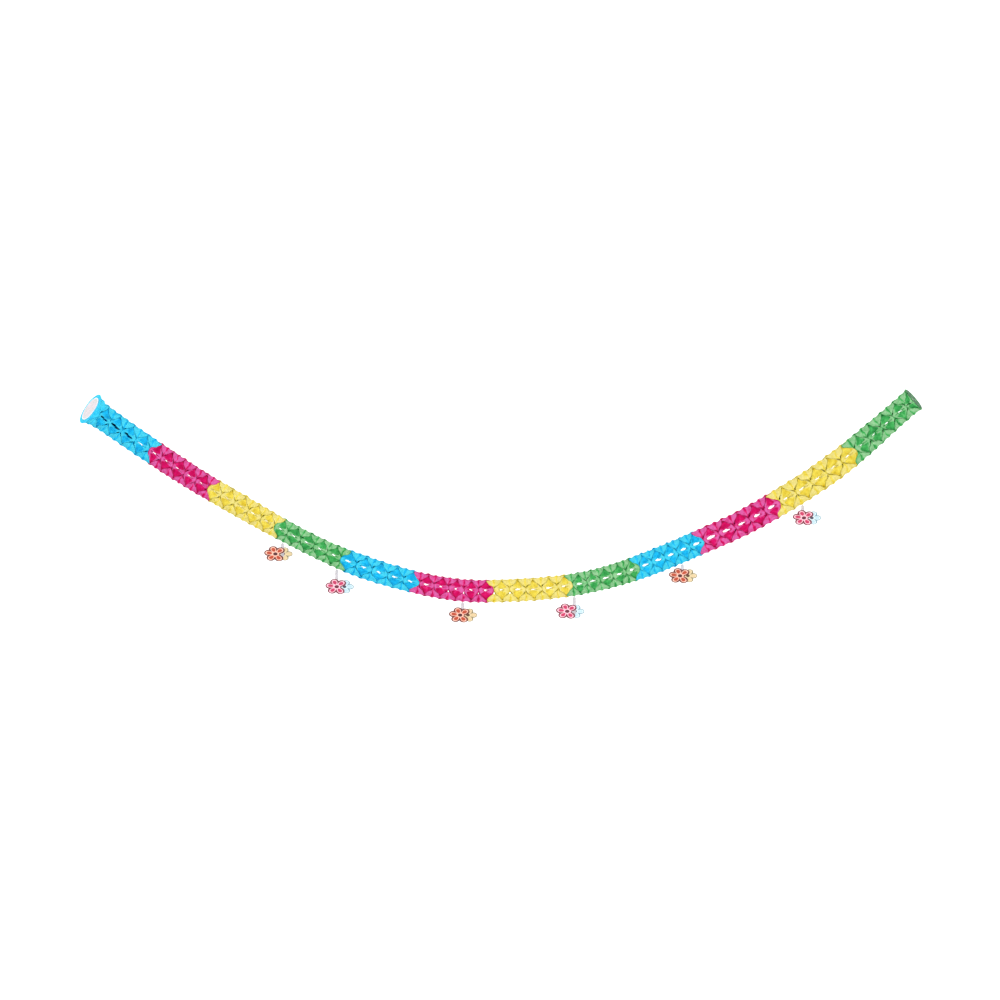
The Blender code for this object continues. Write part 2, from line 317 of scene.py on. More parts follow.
# Printed inks, lighter and darker where the print varies
INKS = {
    "ink_maroon": ((0.14, 0.008, 0.0), (0.09, 0.004, 0.0)),
    "ink_peach": ((0.86, 0.52, 0.41), (0.76, 0.38, 0.27)),
    "ink_red": ((0.46, 0.05, 0.004), (0.34, 0.025, 0.002)),
    "ink_dark": ((0.08, 0.0, 0.0), (0.05, 0.0, 0.0)),
    "ink_plum": ((0.18, 0.003, 0.026), (0.12, 0.002, 0.018)),
    "ink_rose": ((0.86, 0.55, 0.62), (0.78, 0.42, 0.51)),
    "ink_magenta": ((0.52, 0.02, 0.11), (0.40, 0.01, 0.07)),
    "ink_wine": ((0.13, 0.0, 0.025), (0.08, 0.0, 0.015)),
    "ink_gold_line": ((0.26, 0.21, 0.10), (0.20, 0.16, 0.07)),
    "ink_cream": ((0.66, 0.54, 0.34), (0.60, 0.46, 0.26)),
    "ink_straw": ((0.64, 0.49, 0.26), (0.58, 0.43, 0.22)),
    "ink_umber": ((0.10, 0.03, 0.0), (0.07, 0.02, 0.0)),
    "ink_grey_blue": ((0.17, 0.31, 0.38), (0.12, 0.25, 0.31)),
    "ink_ice": ((0.60, 0.69, 0.72), (0.53, 0.65, 0.69)),
    "ink_sky": ((0.44, 0.60, 0.68), (0.38, 0.55, 0.64)),
    "ink_slate": ((0.05, 0.05, 0.09), (0.03, 0.03, 0.06)),
    "card_back": ((0.70, 0.67, 0.67), (0.62, 0.58, 0.59)),
}

# The inks of each kind of flower: line, petals, hearts, spot and back
FLOWER_INKS = {
    ("front", "orange"): ("ink_maroon", "ink_peach", "ink_red", "ink_dark", "card_back"),
    ("front", "pink"): ("ink_plum", "ink_rose", "ink_magenta", "ink_wine", "card_back"),
    ("back", "gold"): ("ink_gold_line", "ink_cream", "ink_straw", "ink_umber", "card_back"),
    ("back", "ice"): ("ink_grey_blue", "ink_ice", "ink_sky", "ink_slate", "card_back"),
}
CHARM_COLOURS = (("orange", "gold"), ("pink", "ice"))

# The studio
MIDDLE_X = 1.775
VIEW_Z = -0.3958
VIEW_WIDTH = 4.33
CAMERA_DISTANCE = 30.0
SENSOR_WIDTH = 36.0
FAR_CLIP = 200.0
FLOOR_Z = -3.4
FLOOR_SIZE = 6.0
FLOOR_TINT = (0.86, 0.86, 0.86, 1.0)
WORLD_TINT = (1.0, 1.0, 1.0, 1.0)
WORLD_STRENGTH = 1.4
LIT_Z = -0.4

# Lights that aim at the garland's middle: name, place, size and power
LIGHTS = (
    ("key", (0.2, -3.2, 0.6), 2.0, 16),
    ("fill", (3.4, -3.0, -2.2), 2.4, 26),
)


def smooth(value):
    """From 0 to 1 with soft ends."""
    share = np.clip(value, 0, 1)
    return share * share * (3 - 2 * share)


def signed_away(degrees, spot):
    """How many degrees an angle lies past a spot, between -180 and 180."""
    return (degrees - spot + 180) % 360 - 180


def off_bottom(angle):
    """Between 0 and 1: how free the paper is at this angle, which is held still at the bottom."""
    return 1 - np.exp(-((signed_away(np.degrees(angle), BOTTOM) / STILL_DEGREES) ** 2))


def new_object(name, data):
    """An object with this data, in the scene."""
    obj = bpy.data.objects.new(name, data)
    bpy.context.scene.collection.objects.link(obj)
    return obj


class Route:
    """The centre line: a smooth curve through the route's own points, measured along its length."""

    def __init__(self):
        self.points = [Vector((x * SPAN, 0, -z * SAG)) for x, z in ROUTE_SHARES]
        self.lengths = [0.0]
        steps = ROUTE_STEPS * (len(self.points) - 1)
        samples = [self.at_step(n / ROUTE_STEPS) for n in range(steps + 1)]
        for a, b in zip(samples, samples[1:]):
            self.lengths.append(self.lengths[-1] + (b - a).length)
        self.total = self.lengths[-1]

    def slope(self, n):
        """The direction of the curve at one of its own points."""
        last = len(self.points) - 1
        before, after = max(n - 1, 0), min(n + 1, last)
        return self.points[after] - self.points[before]

    def at_step(self, step):
        """The curve's point at a step: a whole number at each of its own points."""
        n = min(int(step), len(self.points) - 2)
        u = step - n
        a, b = self.points[n], self.points[n + 1]
        chord = (b - a).length
        leave = self.slope(n).normalized() * chord
        arrive = self.slope(n + 1).normalized() * chord
        return (
            a * (2 * u**3 - 3 * u**2 + 1)
            + leave * (u**3 - 2 * u**2 + u)
            + b * (3 * u**2 - 2 * u**3)
            + arrive * (u**3 - u**2)
        )

    def forward(self, s):
        """How far the line lies in front of its own plane, where it turns at its ends."""
        near_left = max(LEFT_TURN_LENGTH - s, 0.0)
        near_right = max(RIGHT_TURN_LENGTH - (self.total - s), 0.0)
        left = math.tan(LEFT_TURN) * near_left**2 / (2 * LEFT_TURN_LENGTH)
        right = math.tan(RIGHT_TURN) * near_right**2 / (2 * RIGHT_TURN_LENGTH)
        return left + right

    def raw_point(self, s):
        """The point at the length s, before the left end is moved to the origin."""
        inside = min(max(s, 0.0), self.total)
        low = 0
        high = len(self.lengths) - 1
        while high - low > 1:
            middle = (low + high) // 2
            if self.lengths[middle] <= inside:
                low = middle
            else:
                high = middle
        share = (inside - self.lengths[low]) / (self.lengths[high] - self.lengths[low])
        point = self.at_step((low + share) / ROUTE_STEPS)
        return point + Vector((0, -self.forward(inside), 0))

    def point(self, s):
        """The point at the length s, with the left end at the origin."""
        return self.raw_point(s) - self.raw_point(0.0)

    def frame(self, s):
        """The point at s, with the line's front side and its upper side."""
        ahead = min(s + SLOPE_STEP, self.total)
        behind = max(s - SLOPE_STEP, 0.0)
        along = (self.point(ahead) - self.point(behind)).normalized()
        front = Vector((0, -1, 0))
        front = (front - along * front.dot(along)).normalized()
        return self.point(s), front, front.cross(along)


class Sheets:
    """Where every sheet of the garland lies along the line, and how far its rim waves."""

    def __init__(self, route):
        self.route = route
        self.count = sum(SHEET_COUNTS)
        self.firsts = [sum(SHEET_COUNTS[:block]) for block in range(len(SHEET_COUNTS))]
        self.waves = []
        self.turned = []
        for block, sheets in enumerate(SHEET_COUNTS):
            start = self.turned[-1] if self.turned else 1
            self.turned += [start if n % 2 == 0 else -start for n in range(sheets)]
            self.waves += [STRETCH_SHARES[block] * self.pull(len(self.waves) + n) for n in range(sheets)]
        for first in self.firsts[1:]:
            self.waves[first - 1] = self.waves[first] = (self.waves[first - 1] + self.waves[first]) / 2
        self.waves[0] = 0.0
        self.waves[-1] = 0.0
        gaps = SEAT_GAP * (len(COLOURS) + 1)
        paper = SHEET_THICKNESS * self.count
        free = route.total - 2 * CARD_THICKNESS - gaps - paper
        inner = [k for k in range(1, self.count) if k not in self.firsts]
        shares = sum(self.waves[k - 1] + self.waves[k] for k in inner)
        self.waves = [wave * free / shares for wave in self.waves]
        self.places = [CARD_THICKNESS + SEAT_GAP + SHEET_THICKNESS / 2]
        for k in range(1, self.count):
            apart = SEAT_GAP if k in self.firsts else self.waves[k - 1] + self.waves[k]
            self.places.append(self.places[-1] + apart + SHEET_THICKNESS)

    def pull(self, k):
        """How far a sheet is pulled out: the first ones, beside the left card, are slacker."""
        return 1 - END_SLACK_SHARE * math.exp(-k / END_SLACK_SHEETS)

    def numbers(self, block):
        """The numbers of one block's sheets."""
        return range(self.firsts[block], self.firsts[block] + SHEET_COUNTS[block])

    def at_card(self, k):
        """Whether a sheet is stuck to one of the two end cards."""
        return k in (0, self.count - 1)

    def lowest_spot(self, k):
        """Where sheet k touches the sheet before it at the bottom of its rim, along the line."""
        middle = (self.places[k - 1] + self.places[k]) / 2
        if k in self.firsts:
            return middle + BOTTOM_LIFT * self.turned[k] * self.waves[k]
        return middle + (self.waves[k - 1] - self.waves[k]) / 2

    def block_anchor(self, block):
        """The point of a block that its piece is placed at, on its own body."""
        if block == 0:
            return self.route.point(LEFT_END_ROOM)
        if block == len(COLOURS) - 1:
            return self.route.point(self.route.total - RIGHT_END_ROOM)
        seats = {seat_block - 1: sheet for seat_block, sheet in CHARM_SEATS}
        sheet = seats.get(block, SHEET_COUNTS[block] // 2)
        return self.route.point(self.lowest_spot(self.firsts[block] + sheet))

    def block_axis(self, block):
        """The straight way from a block's first sheet to its last."""
        numbers = self.numbers(block)
        start, end = self.places[numbers[0]], self.places[numbers[-1]]
        return (self.route.point(end) - self.route.point(start)).normalized()

    def rim_radius(self, s):
        """The tube's radius, which widens to a collar where the end sheets are stuck to the cards."""
        share = min(max(s / self.route.total, 0.0), 1.0)
        girth = np.interp(share, *zip(*GIRTH_SHARES))
        flange = LEFT_COLLAR_RADIUS + LEFT_SPREAD
        left = (flange - TUBE_RADIUS * GIRTH_SHARES[0][1]) * math.exp(-s / COLLAR_FADE)
        past = s - self.route.total
        right = (RIGHT_COLLAR_RADIUS - TUBE_RADIUS * GIRTH_SHARES[-1][1]) * math.exp(past / COLLAR_FADE)
        return TUBE_RADIUS * girth + left + right

    def dip(self, s):
        """Between 0 and 1: how far the tube draws in at s, most at each sheet's own plane."""
        planes = [place for k, place in enumerate(self.places) if k == 0 or k not in self.firsts]
        n = min(max(int(np.searchsorted(planes, s)) - 1, 0), len(planes) - 2)
        share = min(max((s - planes[n]) / (planes[n + 1] - planes[n]), 0.0), 1.0)
        if n == 0:
            return (1 - math.cos(math.pi * share)) / 2
        if n == len(planes) - 2:
            return (1 + math.cos(math.pi * share)) / 2
        return (1 + math.cos(2 * math.pi * share)) / 2


class Tube:
    """The tube's surface, sampled along the line, so that many points can be placed at once."""

    def __init__(self, route, sheets):
        count = round(route.total / SAMPLE_STEP)
        self.s = np.linspace(0.0, route.total, count + 1)
        rows = [route.frame(s) for s in self.s]
        self.centre, self.front, self.up = (np.array([tuple(row[n]) for row in rows]) for n in range(3))
        self.radius = np.array([sheets.rim_radius(s) * (1 - DIP_SHARE * sheets.dip(s)) for s in self.s])
        rng = random.Random(SEED)
        self.ripples = [
            (
                2 * math.pi / rng.uniform(*RIPPLE_LENGTHS),
                rng.randint(-RIPPLE_TURNS, RIPPLE_TURNS),
                rng.uniform(0, 2 * math.pi),
                rng.uniform(0, 2 * math.pi),
            )
            for _ in range(RIPPLES)
        ]

    def ripple(self, s, angle):
        """How far the paper lies out of its even place: outwards, and along the line."""
        out = sum(np.sin(per_metre * s + turns * angle + a) for per_metre, turns, a, _ in self.ripples)
        along = sum(np.sin(per_metre * s + turns * angle + b) for per_metre, turns, _, b in self.ripples)
        inside = np.clip(np.minimum(s, self.s[-1] - s) / COLLAR_FADE, 0, 1)
        share = off_bottom(angle) * inside / math.sqrt(RIPPLES)
        return RIPPLE_OUT * share * out, RIPPLE_ALONG * share * along

    def raised(self, s, angle):
        """How far round the paper is drawn up on both sides where it shows a second row of slits."""
        start, end = SECOND_ROW
        share = np.interp(s, (start - SECOND_ROW_FADE, start, end, end + SECOND_ROW_FADE), (0, 1, 1, 0))
        return math.radians(RAISED_DEGREES) * share * off_bottom(angle) * np.cos(angle)

    def rim(self, s):
        """The tube's radius at these places along the line."""
        return np.interp(s, self.s, self.radius)

    def place(self, s, radius, angle):
        """World points at these places along the line, radii and angles from the front side upwards."""
        out, along = self.ripple(s, angle)
        angle = angle + self.raised(s, angle)
        s = s + along
        centre, front, up = (
            np.stack([np.interp(s, self.s, rows[:, n]) for n in range(3)], axis=-1)
            for rows in (self.centre, self.front, self.up)
        )
        reach = (radius + out * radius / TUBE_RADIUS)[..., None]
        return centre + reach * (np.cos(angle)[..., None] * front + np.sin(angle)[..., None] * up)


# Tissue blocks


def turn_angles():
    """Angles round a sheet in degrees, close together at its glue spots and slits."""
    spots = np.array([degrees for degrees, lift in STATIONS if lift])
    near = spots[:, None] + np.arange(-NEAR_DEGREES, NEAR_DEGREES + NEAR_STEP / 2, NEAR_STEP)
    fine = np.arange(-SLIT_DEGREES, SLIT_DEGREES + SLIT_STEP / 2, SLIT_STEP)
    fine = np.array((FRONT, BACK))[:, None] + fine
    near = np.concatenate((near.ravel(), fine.ravel()))
    far = np.arange(0, 360, FAR_STEP)
    away = np.abs(signed_away(far[:, None], spots)).min(axis=1)
    return np.unique(np.concatenate((near % 360, far[away > NEAR_DEGREES + NEAR_STEP])))


def lift_at(degrees):
    """How far a rim is lifted, between -1 and 1: flat at each glue spot, and a soft wave between two."""
    knots = []
    for station, lift in STATIONS:
        flat = FLAT_DEGREES if lift else 0
        knots += [(station - flat, lift), (station + flat, lift)]
    taut = np.interp(degrees, *zip(*knots), period=360)
    return taut + SOFT_WAVE * np.sin(np.pi * taut) / np.pi


def sheet_rims(sheets):
    """Where each sheet's rim lies along the line, at every angle round it."""
    lift = lift_at(turn_angles())
    close = SHEET_THICKNESS / 2 - GLUED_GAP / 2
    rims = []
    for place, wave, turned in zip(sheets.places, sheets.waves, sheets.turned):
        reach = wave + close if wave else 0.0
        rims.append(place + reach * turned * lift)
    return rims


class Gap:
    """The gap between the rims of two sheets, and how far the flap of each reaches over it."""

    def __init__(self, sheets, block, k, degrees, rims, rng):
        self.left, self.right = rims[k], rims[k + 1]
        middle = (self.left + self.right) / 2
        half = np.maximum((self.right - self.left) / 2, 0)
        wave = max(sheets.waves[k], sheets.waves[k + 1])
        place = sheets.places[k] + wave
        in_front = sheets.turned[k] > 0
        # How near the rims come at a glue spot, for the painted shade where the paper gathers there
        self.gather = (1 - np.clip(half / wave, 0, 1)) ** 2
        nearest = np.full(len(degrees), 180.0)
        left_slit = np.zeros(len(degrees))
        right_slit = np.zeros(len(degrees))
        for spot, (length, height) in self.slits(k, place, in_front):
            tall = DARK_HEIGHT if place < DARK_END else SLIT_HEIGHTS[block]
            length *= SLIT_LENGTHS[block] * wave * rng.uniform(*SLIT_LENGTH_RANGE)
            height *= tall * rng.uniform(*SLIT_HEIGHT_RANGE) * wave / SLIT_WAVE
            away = signed_away(degrees, spot + rng.uniform(*SLIT_SHIFT_RANGE))
            tilt = SLIT_TILT * rng.uniform(*SLIT_TILT_RANGE)
            for side, slit in ((-tilt, left_slit), (tilt, right_slit)):
                share = np.sqrt(np.clip(1 - ((away + side) / height) ** 2, 0, 1))
                slit[:] = np.maximum(slit, np.minimum(length * share, half))
            nearest = np.minimum(nearest, np.maximum(np.abs(away) - height - SLIT_TILT, 0))
        # Near the card the flaps keep only a share of their painted shade, which paints a bright band
        self.tone = COLLAR_SHADE_SHARE if k < COLLAR_GAPS else 1.0
        self.painted_back_shade = np.zeros(len(degrees))
        # Painted shade: a dark strip on the back, seen through the front slits as the dark inside of the
        # tube
        if in_front and COLLAR_GAPS <= k and place < DARK_END:
            from_back = signed_away(degrees, BACK)
            self.painted_back_shade += DEEPEST_SHADE * np.exp(-((from_back / DARK_BACK_DEGREES) ** 2))
        lap_share = WIDE_LAP_SHARE if in_front else SMALL_LAP_SHARE
        lap = half * lap_share * rng.uniform(*LAP_RANGE) * smooth(nearest / LAP_RAMP)
        self.left_end = middle + np.clip(lap - left_slit, -half, half)
        self.right_end = middle + np.clip(right_slit - lap, -half, half)
        # How open a slit is at each angle, for the painted shade along its edges
        self.slit = smooth((left_slit + right_slit) / wave)

    def slits(self, k, place, in_front):
        """The slits of this gap: angle, then half length in waves and half height in degrees."""
        second = SECOND_ROW[0] < place < SECOND_ROW[1]
        if not in_front:
            spots = (360 - SECOND_ROW_DEGREES, BACK + SECOND_ROW_DEGREES) if second else ()
            return [(spot, SECOND_ROW_SLIT) for spot in spots]
        if k < COLLAR_GAPS:
            return []
        along = SHORT_FRONT_SLIT if second else FRONT_SLIT
        found = [(FRONT, along), (TOP, SIDE_SLIT), (BOTTOM, SIDE_SLIT)]
        if place > DARK_END:
            found.append((BACK, along))
        return found


class Paper:
    """Collects the points, faces and painted shades of one piece of paper."""

    def __init__(self, tube, angle):
        self.tube = tube
        self.angle = angle
        self.points = []
        self.painted_shades = []
        self.faces = []
        self.count = 0

    def row(self, s, radius, painted_shade):
        """One ring of points round the tube; returns their numbers."""
        self.points.append(self.tube.place(s, radius, self.angle))
        self.painted_shades.append(np.broadcast_to(painted_shade, s.shape))
        numbers = np.arange(self.count, self.count + len(s))
        self.count += len(s)
        return numbers

    def band(self, low, high, keep=None):
        """Faces between two rings, only where keep says so."""
        quads = np.stack((low, high, np.roll(high, -1), np.roll(low, -1)), axis=-1)
        self.faces.append(quads if keep is None else quads[keep])

    def disc(self, place, wave, rings):
        """A sheet's rings of paper, whose rim waves; returns the numbers of the last ring."""
        rim = self.tube.rim(place + wave) - RIM_INSET
        before = None
        for share, painted_shade in rings:
            radius = PAPER_HOLE + (rim - PAPER_HOLE) * share
            now = self.row(place + wave * radius / rim, radius, painted_shade)
            if before is not None:
                self.band(before, now)
            before = now
        return before

    def flap(self, rim, start, end, outer, gap, covered):
        """A flap from a sheet's rim to its free edge, over the other side's flap where it is outer."""
        length = np.abs(end - start)
        keep = np.maximum(length, np.roll(length, -1)) > SHORTEST_FLAP
        before = rim
        for n in range(1, FLAP_ROWS):
            share = n / (FLAP_ROWS - 1)
            s = start + (end - start) * share
            inset = INNER_INSET + (OUTER_INSET - INNER_INSET) * outer
            inset = RIM_INSET + (inset - RIM_INSET) * smooth(share * INSET_RAMP)
            inset = inset - EDGE_LIFT * outer * share**4
            # Painted shade: dark creases by the rim, gathers at glue spots, and dark slit and free
            # edges; where the outer flap lies over the other it is partly the deeper tint of two layers
            # and partly painted shade
            crease = CREASE_SHADE * np.exp(-length * share / CREASE) + GATHER_SHADE * gap.gather
            under = smooth((np.abs(s - start) - covered) / FEATHER + 0.5) * outer
            edge = SLIT_EDGE_SHADE * gap.slit * share**3 + FREE_EDGE_SHADE * share**6
            painted_shade = gap.tone * np.clip(crease + UNDER_SHADE * under + edge, 0, 1) + gap.painted_back_shade
            now = self.row(s, self.tube.rim(s) - inset, painted_shade)
            self.band(before, now, keep)
            before = now

    def piece(self, name, at, block, material):
        """The paper as one piece at its place, on its block's body and with its block's finish."""
        mesh = bpy.data.meshes.new(name)
        points = np.concatenate(self.points) - np.array(at)
        mesh.from_pydata(points.tolist(), [], np.concatenate(self.faces).tolist())
        # Each point's painted shade, by which the tissue's colour ramp darkens it
        painted_shade = mesh.attributes.new("painted_shade", "FLOAT", "POINT")
        painted_shade.data.foreach_set("value", np.concatenate(self.painted_shades).astype(np.float32))
        mesh.materials.append(material)
        mesh.shade_smooth()
        obj = new_object(name, mesh)
        obj.location = at
        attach(obj, f"segment_{block + 1:02d}")
        return obj


def end_sheet(tube, sheets, block, k, material):
    """The sheet that is stuck to an end card: a flat piece of its own on the card."""
    angle = np.radians(turn_angles())
    paper = Paper(tube, angle)
    # Pale painted shade all over, so that the flange at the card reads bright
    rings = [(share, END_SHEET_SHADE) for share, _ in DISC_RINGS]
    paper.disc(sheets.places[k], np.zeros(len(angle)), rings)
    side = "left" if k == 0 else "right"
    paper.piece(f"end_sheet_{side}", sheets.route.point(sheets.places[k]), block, material)


def tissue_block(tube, sheets, block, rims, material):
    """One block's sheets with their flaps, as one piece."""
    rng = random.Random(SEED + block)
    degrees = turn_angles()
    angle = np.radians(degrees)
    paper = Paper(tube, angle)
    numbers = sheets.numbers(block)
    edges = {}
    for k in numbers:
        if sheets.at_card(k):
            end_sheet(tube, sheets, block, k, material)
        rings = DISC_RINGS[-1:] if sheets.at_card(k) else DISC_RINGS
        edges[k] = paper.disc(sheets.places[k], rims[k] - sheets.places[k], rings)
    upper = smooth(0.5 + np.sin(angle) / math.sin(math.radians(2 * SLIT_TILT)) / 2)
    for k in numbers[:-1]:
        gap = Gap(sheets, block, k, degrees, rims, rng)
        paper.flap(edges[k], gap.left, gap.left_end, upper, gap, gap.right_end - gap.left)
        paper.flap(edges[k + 1], gap.right, gap.right_end, 1 - upper, gap, gap.right - gap.left_end)
    name = f"paper_{block + 1:02d}_{COLOURS[block]}"
    return paper.piece(name, sheets.block_anchor(block), block, material)


def build_tissue(route, sheets):
    """The twelve blocks of tissue, each as one piece on its block's body."""
    tissue = {colour: tissue_material(f"paper_{colour}", *tints) for colour, tints in TISSUE.items()}
    tube = Tube(route, sheets)
    rims = sheet_rims(sheets)
    for block, colour in enumerate(COLOURS):
        obj = tissue_block(tube, sheets, block, rims, tissue[colour])
        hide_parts(f"tissue_{block + 1:02d}_{colour}")
        axis = sheets.block_axis(block)
        tuple(sheets.block_anchor(block))
        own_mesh(obj)


# Materials


class Nodes:
    """A material in the making."""

    def __init__(self, name):
        self.material = bpy.data.materials.new(name)
        self.material.use_nodes = True
        self.nodes = self.material.node_tree.nodes
        self.nodes.clear()
        self.link = self.material.node_tree.links.new
        self.coordinates = None

    def where(self):
        """The object's own coordinates, from one node that its textures share."""
        if self.coordinates is None:
            self.coordinates = self.nodes.new("ShaderNodeTexCoord").outputs["Object"]
        return self.coordinates

    def noise(self, scale, detail, roughness):
        """Noise that lies still on the object."""
        node = self.nodes.new("ShaderNodeTexNoise")
        node.inputs["Scale"].default_value = scale
        node.inputs["Detail"].default_value = detail
        node.inputs["Roughness"].default_value = roughness
        self.link(self.where(), node.inputs["Vector"])
        return node.outputs["Fac"]

    def ramp(self, source, stops):
        """Takes a number to a colour between the stops, each a place and a colour."""
        node = self.nodes.new("ShaderNodeValToRGB")
        while len(node.color_ramp.elements) < len(stops):
            node.color_ramp.elements.new(NEW_STOP)
        for element, (place, colour) in zip(node.color_ramp.elements, stops):
            element.position = place
            element.color = (*colour, 1.0)
        self.link(source, node.inputs["Fac"])
        return node.outputs["Color"]

    def bump(self, height, strength, distance, normal=None):
        """A normal that follows this height, on top of another normal if one is given."""
        node = self.nodes.new("ShaderNodeBump")
        node.inputs["Strength"].default_value = strength
        node.inputs["Distance"].default_value = distance
        self.link(height, node.inputs["Height"])
        if normal:
            self.link(normal, node.inputs["Normal"])
        return node.outputs["Normal"]

    def spread(self, source, start, end, low=0.0, high=1.0):
        """Takes the range from start to end to the range from low to high."""
        node = self.nodes.new("ShaderNodeMapRange")
        node.inputs["From Min"].default_value = start
        node.inputs["From Max"].default_value = end
        node.inputs["To Min"].default_value = low
        node.inputs["To Max"].default_value = high
        self.link(source, node.inputs["Value"])
        return node.outputs["Result"]

    def operate(self, operation, *values):
        """One operation on values, each a number or a socket."""
        node = self.nodes.new("ShaderNodeMath")
        node.operation = operation
        for socket, value in zip(node.inputs, values):
            if isinstance(value, float):
                socket.default_value = value
            else:
                self.link(value, socket)
        return node.outputs["Value"]

    def body(self, tint, roughness, normal=None):
        """The main shader, with a colour that is linked or the same all over."""
        node = self.nodes.new("ShaderNodeBsdfPrincipled")
        node.inputs["Roughness"].default_value = roughness
        if isinstance(tint, tuple):
            node.inputs["Base Color"].default_value = tint
        else:
            self.link(tint, node.inputs["Base Color"])
        if normal:
            self.link(normal, node.inputs["Normal"])
        return node

    def finish(self, shader):
        """Links the shader to the surface and returns the material."""
        out = self.nodes.new("ShaderNodeOutputMaterial")
        self.link(shader.outputs[0], out.inputs["Surface"])
        return self.material


def tissue_material(name, dark, middle, light):
    """Thin crinkled paper: pale where one layer lies alone, deeper where layers lie over each other, and
    darker still where painted shade is set on its points.
    """
    made = Nodes(name)
    # Reads the painted shade of each point
    layers = made.nodes.new("ShaderNodeAttribute")
    layers.attribute_name = "painted_shade"
    clouds = made.spread(made.noise(*CLOUD), NOISE_LOW, NOISE_HIGH, *CLOUD_DEPTHS)
    depth = made.operate("ADD", layers.outputs["Fac"], clouds)
    # The colour ramp runs from a single pale layer to a near-black painted shade
    stops = (
        (0.0, light),
        (FEW_LAYERS_AND_SHADE, middle),
        (MANY_LAYERS_AND_SHADE, dark),
        (DEEPEST_SHADE, [part * DEEPEST_SHADE_TINT for part in dark]),
    )
    stops = [(at / DEEPEST_SHADE, colour) for at, colour in stops]
    tint = made.ramp(made.operate("MULTIPLY", depth, 1 / DEEPEST_SHADE), stops)
    normal = made.bump(made.noise(*CRINKLE), *CRINKLE_BUMP)
    normal = made.bump(made.noise(*FIBRE), *FIBRE_BUMP, normal)
    body = made.body(tint, TISSUE_ROUGHNESS, normal)
    body.inputs["Specular IOR Level"].default_value = TISSUE_SPECULAR
    through = made.nodes.new("ShaderNodeBsdfTranslucent")
    made.link(tint, through.inputs["Color"])
    made.link(normal, through.inputs["Normal"])
    mix = made.nodes.new("ShaderNodeMixShader")
    mix.inputs["Fac"].default_value = THROUGH_SHARE
    made.link(body.outputs["BSDF"], mix.inputs[1])
    made.link(through.outputs["BSDF"], mix.inputs[2])
    return made.finish(mix)


def card_material(name, centre, radius):
    """White card with a faint grey mottle and a whiter band round its rim."""
    made = Nodes(name)
    distance = made.nodes.new("ShaderNodeVectorMath")
    distance.operation = "DISTANCE"
    distance.inputs[1].default_value = centre
    made.link(made.where(), distance.inputs[0])
    mix = made.nodes.new("ShaderNodeMix")
    mix.data_type = "RGBA"
    inner, band = (socket for socket in mix.inputs if socket.type == "RGBA")
    tint = next(socket for socket in mix.outputs if socket.type == "RGBA")
    edge = made.spread(distance.outputs["Value"], *(radius * share for share in BAND_SHARES))
    made.link(edge, mix.inputs["Factor"])
    made.link(made.ramp(made.noise(*MOTTLE), MOTTLE_STOPS), inner)
    band.default_value = BAND_TINT
    normal = made.bump(made.noise(*CARD_FIBRE), *CARD_BUMP)
    return made.finish(made.body(tint, CARD_ROUGHNESS, normal))


def covered_card_material(name):
    """Card under stuck-down green tissue, darkened with painted shade, with pinkish-white specks where
    it shows through.
    """
    made = Nodes(name)
    tint = made.ramp(made.noise(*COVER_PATCH), COVERED_SHADED_STOPS)
    normal = made.bump(made.noise(*FIBRE), *COVER_BUMP)
    return made.finish(made.body(tint, COVER_ROUGHNESS, normal))


def print_material(name, light, dark):
    """Printed card: flat ink that varies a little, with a soft gloss."""
    made = Nodes(name)
    tint = made.ramp(made.noise(*INK_PATCH), ((NOISE_LOW, dark), (NOISE_HIGH, light)))
    normal = made.bump(made.noise(*INK_GRAIN), *INK_BUMP)
    return made.finish(made.body(tint, INK_ROUGHNESS, normal))


def strip_material(name):
    """Clear plastic strip: mostly see-through, with a grey cast and a clear gloss."""
    made = Nodes(name)
    tint = made.ramp(made.noise(*STREAK), tuple(zip((NOISE_LOW, NOISE_HIGH), STRIP_TINTS)))
    body = made.body(tint, STRIP_ROUGHNESS)
    body.inputs["Alpha"].default_value = STRIP_ALPHA
    return made.finish(body)


# Flower cards


def petal_end(petal_radius, reach, half_gap):
    """How far a petal's arc swings round to its notch, and whether it meets the next petal there."""
    side = reach * math.sin(half_gap)
    if side >= petal_radius:
        return OPEN_ARC, False
    notch = reach * math.cos(half_gap) + math.sqrt(petal_radius**2 - side**2)
    return math.atan2(notch * math.sin(half_gap), notch * math.cos(half_gap) - reach), True


def flower_outline(shape, points_per_petal):
    """A flower of round petals, each the arc of a circle between its two notches, stretched sideways."""
    petal_radius, reach, headings, stretch = shape
    turns = [math.radians(heading) for heading in headings]
    points = []
    for n, heading in enumerate(turns):
        ahead = (turns[(n + 1) % len(turns)] - heading) % (2 * math.pi) / 2
        behind = (heading - turns[n - 1]) % (2 * math.pi) / 2
        start, _ = petal_end(petal_radius, reach, behind)
        end, closed = petal_end(petal_radius, reach, ahead)
        for step in range(points_per_petal + (0 if closed else 1)):
            swing = -start + (start + end) * step / points_per_petal
            x = reach * math.cos(heading) + petal_radius * math.cos(heading + swing)
            z = reach * math.sin(heading) + petal_radius * math.sin(heading + swing)
            points.append((x * stretch, z))
        if not closed:
            notch = heading + ahead
            points.append((OPEN_NOTCH * math.cos(notch) * stretch, OPEN_NOTCH * math.sin(notch)))
    return points


def mark_turns():
    """The angles of a printed mark's points."""
    return [2 * math.pi * n / MARK_POINTS for n in range(MARK_POINTS)]


